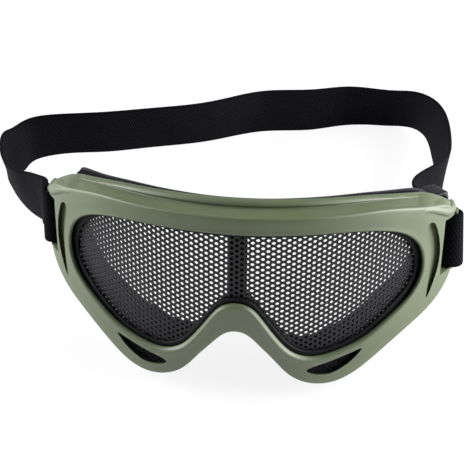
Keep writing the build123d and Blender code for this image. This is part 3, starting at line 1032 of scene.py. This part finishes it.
slider_parts = [
    slider_part(
        slider_middle + face * (way * bar_stand) + ahead * (step * (slider_length - slider_bar) / 2),
        upward * (rail_stand + bar_overlap), ahead * slider_bar / 2, face * (way * slider_thickness / 2), rib_count,
    )
    for way, step in ((1, -1), (-1, 0), (1, 1))
] + [
    slider_part(
        slider_middle + upward * (end * rail_stand),
        ahead * slider_length / 2, face * (bar_stand + slider_thickness / 2), upward * (end * slider_rail / 2), 0,
    )
    for end in (-1, 1)
]
slider = make_tube("slider", slider_parts[0], "adjuster", "adjuster")
carve(slider, [make_tube("slider_part", part) for part in slider_parts[1:]], "UNION")
slider.data.shade_smooth()
slider.data.set_sharp_from_angle(angle=radians(50))

# Moulded acetal: smooth, waxy black, a little duller where the webbing has rubbed it, in patches of 3 mm
rub_size = 3.0
acetal, tree, shader = new_material("black_acetal")
shader.inputs["Specular IOR Level"].default_value = 0.4
place = add_node(tree, "ShaderNodeTexCoord").outputs["Object"]
rubs = add_node(tree, "ShaderNodeTexNoise", None, {"Vector": place, "Scale": 1000 / rub_size, "Detail": 4.0})
add_node(
    tree, "ShaderNodeMix", in_colour, {0: rubs.outputs[0], 6: linear("#0f0e12"), 7: linear("#1d1b21")},
    shader.inputs["Base Color"],
)
add_node(
    tree, "ShaderNodeMapRange", None, {0: rubs.outputs[0], 1: 0.3, 2: 0.7, 3: 0.3, 4: 0.5},
    shader.inputs["Roughness"],
)
add_node(
    tree, "ShaderNodeBump", None, {"Strength": 0.15, "Distance": 0.0001, "Height": rubs.outputs[0]},
    shader.inputs["Normal"],
)
slider.data.materials.clear()
slider.data.materials.append(acetal)


# Studio: a white paper floor under a white surround, lit by a large soft lamp at each side. The camera stands
# where the photograph was taken.
camera_place = Vector((38.7, -375.3, 266.1))
camera_back = Vector((0.0926, -0.8886, 0.4493))
camera_roll = radians(0.63)
camera = bpy.data.objects.new("camera", bpy.data.cameras.new("camera"))
bpy.context.scene.collection.objects.link(camera)
camera.data.lens = 83.0
camera.data.sensor_width = 36.0
camera.rotation_mode = "QUATERNION"
camera.location = standing @ camera_place
camera_turn = (-camera_back).to_track_quat("-Z", "Y") @ Matrix.Rotation(camera_roll, 3, "Z").to_quaternion()
camera.rotation_quaternion = standing.to_quaternion() @ camera_turn
bpy.context.scene.camera = camera
bpy.context.scene.view_settings.view_transform = "Standard"

floor_mesh = bpy.data.meshes.new("floor")
floor_mesh.from_pydata([(-3, -3, 0), (3, -3, 0), (3, 3, 0), (-3, 3, 0)], [], [(0, 1, 2, 3)])
ground = bpy.data.objects.new("floor", floor_mesh)
bpy.context.scene.collection.objects.link(ground)

# Matt white paper. Where the camera sees it, straight, through gloss or through glass, most of it glows white, and
# the rest takes the shadow.
paper_glow = 0.86
paper, tree, shader = new_material("white_paper")
shader.inputs["Base Color"].default_value = linear("#f6f6f6")
shader.inputs["Roughness"].default_value = 0.9
larger = {"operation": "MAXIMUM"}
rays = add_node(tree, "ShaderNodeLightPath").outputs
seen = add_node(tree, "ShaderNodeMath", larger, {0: rays["Is Camera Ray"], 1: rays["Is Glossy Ray"]})
seen = add_node(tree, "ShaderNodeMath", larger, {0: seen.outputs[0], 1: rays["Is Transmission Ray"]})
share = add_node(tree, "ShaderNodeMath", times, {0: seen.outputs[0], 1: paper_glow})
glow = add_node(tree, "ShaderNodeEmission", None, {"Color": linear("#ffffff"), "Strength": 1.0})
add_node(
    tree, "ShaderNodeMixShader", None, {0: share.outputs[0], 1: shader.outputs[0], 2: glow.outputs[0]},
    tree.nodes["Material Output"].inputs["Surface"],
)
ground.data.materials.append(paper)

# The surround is white where it is seen, and lights the goggles only faintly
surround_light = 0.17
world = bpy.data.worlds.new("studio")
bpy.context.scene.world = world
world.use_nodes = True
sky = world.node_tree
sky.nodes["Background"].inputs["Color"].default_value = linear("#ffffff")
rays = add_node(sky, "ShaderNodeLightPath").outputs
seen = add_node(sky, "ShaderNodeMath", larger, {0: rays["Is Camera Ray"], 1: rays["Is Transmission Ray"]})
add_node(
    sky, "ShaderNodeMapRange", None, {"Value": seen.outputs[0], "To Min": surround_light, "To Max": 1.0},
    sky.nodes["Background"].inputs["Strength"],
)
lamps_aim = Vector((0, 0, 0.04))
for name, place, size, power in (
    ("right_softbox", (0.74, 0.06, 0.32), 0.7, 18.0),
    ("left_softbox", (-0.72, 0.02, 0.38), 0.6, 11.5),
):
    lamp = bpy.data.objects.new(name, bpy.data.lights.new(name, "AREA"))
    bpy.context.scene.collection.objects.link(lamp)
    lamp.data.size = size
    lamp.data.energy = power
    lamp.location = place
    lamp.rotation_mode = "QUATERNION"
    lamp.rotation_quaternion = (lamps_aim - lamp.location).to_track_quat("-Z", "Y")
